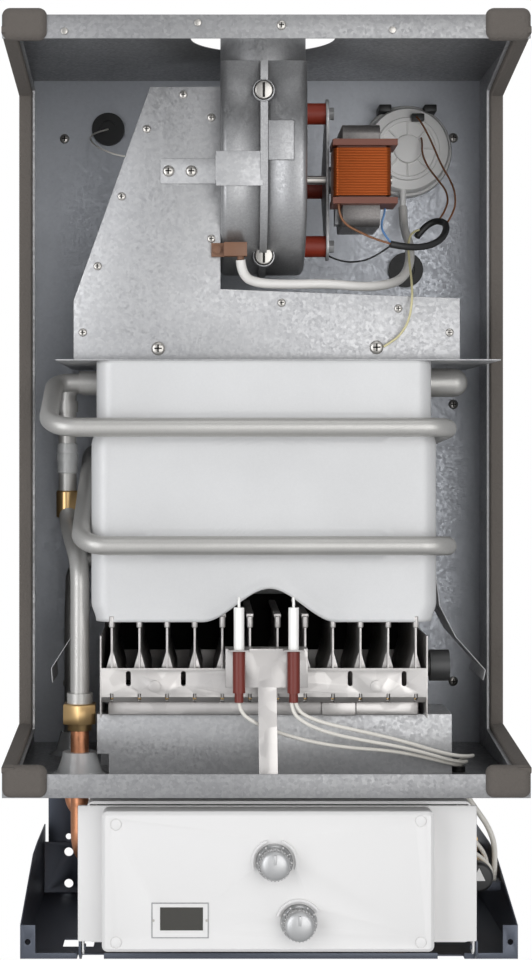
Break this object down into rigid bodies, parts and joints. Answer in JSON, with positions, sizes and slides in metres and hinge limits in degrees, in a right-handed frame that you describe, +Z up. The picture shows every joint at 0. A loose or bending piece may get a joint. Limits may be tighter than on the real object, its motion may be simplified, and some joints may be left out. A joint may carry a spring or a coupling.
{
  "type": "gas water heater",
  "caption": "Fan-assisted wall-hung gas water heater with its covers off: sealed chamber, flue fan, exchanger with cooling coil, burner, and control box with knobs",
  "frame": {"origin": "on the wall face of the lower cross bar, midway across the width and level with the lower wall bolts", "axes": "+Z up, +X to the right as seen from the front, the wall is the plane Y = 0 and the front faces -Y"},
  "size_m": [0.44, 0.3338, 0.818],
  "materials": {
    "galvanised": "spangled zinc coating",
    "bluish_panel": "smooth grey-blue",
    "dark_frame": "matte dark blue-grey",
    "foam": "matte foam",
    "screw_steel": "plated",
    "black_rubber": "matte",
    "cast_grey": "satin",
    "red_rubber": "matte",
    "lamination": "layered edge",
    "bobbin": "satin",
    "copper_wire": "enamelled copper",
    "black_plastic": "satin",
    "brown_plastic": "satin",
    "silicone": "translucent white",
    "lead_cream": "smooth",
    "switch_white": "milky",
    "knob_silver": "satin plating",
    "chamber": "matte coating",
    "copper": "heat-tinted copper",
    "pipe_grey": "satin",
    "burner_steel": "satin",
    "dark_steel": "matte",
    "ceramic_white": "glazed",
    "boot_rubber": "smooth",
    "brass": "satin",
    "clear_plastic": "clear",
    "box_white": "satin",
    "display_dark": "gloss",
    "board_green": "satin"
  },
  "bodies": {
    "body": {"rear_frame": "dark_frame", "back_panel": "bluish_panel", "side_wall_left": "galvanised", "side_wall_right": "galvanised", "top_panel": "galvanised", "bottom_panel": "galvanised", "seal_left": "foam", "seal_right": "foam", "sheet_screws": "screw_steel", "rubber_grommets": "black_rubber", "lower_frame": "dark_frame", "hood_shell": "galvanised", "hood_front": "galvanised", "hood_base_plate": "galvanised", "fan_bracket": "galvanised", "fan_outlet": "cast_grey", "fan_housing_left": "cast_grey", "fan_housing_right": "cast_grey", "motor_plate": "galvanised", "rubber_mounts": "red_rubber", "stator_core": "lamination", "coil_bobbin": "bobbin", "coil_winding": "copper_wire", "bearing_brackets": "cast_grey", "pressure_switch": "switch_white", "pressure_tap": "brown_plastic", "pressure_hose": "silicone", "fan_wiring": "lead_cream", "exchanger": "pipe_grey", "chamber_shell": "chamber", "cooling_coil": "pipe_grey", "burner_bars": "burner_steel", "burner_frame": "burner_steel", "burner_end_cap": "dark_steel", "gas_manifold": "burner_steel", "injectors": "brass", "burner_tray": "galvanised", "side_deflectors": "galvanised", "electrode_bracket": "burner_steel", "electrodes": "ceramic_white", "electrode_boots": "boot_rubber", "ignition_cables": "lead_cream", "supply_pipe": "pipe_grey", "union_nut": "brass", "pipe_grommets": "clear_plastic", "gas_valve": "cast_grey", "pump": "cast_grey", "plate_exchanger": "burner_steel", "filling_valve": "brass", "connection_pipes": "copper", "harness_cables": "lead_cream"},
    "fan_rotor": {"impeller": "galvanised", "rotor_shaft": "screw_steel"},
    "control_box": {"control_tray": "box_white", "control_cover": "box_white", "control_board": "board_green", "display_window": "display_dark"},
    "heating_knob": {"knob_heating": "knob_silver"},
    "water_knob": {"knob_water": "knob_silver"},
    "tap_knob": {"filling_knob": "black_plastic"}
  },
  "joints": [
    {"name": "fan_spin", "type": "hinge", "parent": "body", "child": "fan_rotor", "pos_m": [0.06, -0.168, 0.671], "axis": [1, 0, 0], "continuous": true},
    {"name": "box_tilt", "type": "hinge", "parent": "body", "child": "control_box", "pos_m": [0, -0.263, 0.002], "axis": [1, 0, 0], "range_deg": [0, 90]},
    {"name": "heating_turn", "type": "hinge", "parent": "control_box", "child": "heating_knob", "pos_m": [0.0067, -0.313, 0.085], "axis": [0, 1, 0], "range_deg": [-135, 135]},
    {"name": "water_turn", "type": "hinge", "parent": "control_box", "child": "water_knob", "pos_m": [0.027, -0.313, 0.035], "axis": [0, 1, 0], "range_deg": [-135, 135]},
    {"name": "filling_turn", "type": "hinge", "parent": "body", "child": "tap_knob", "pos_m": [0.1905, -0.201, 0.05], "axis": [0, 1, 0], "range_deg": [0, 90]}
  ]
}
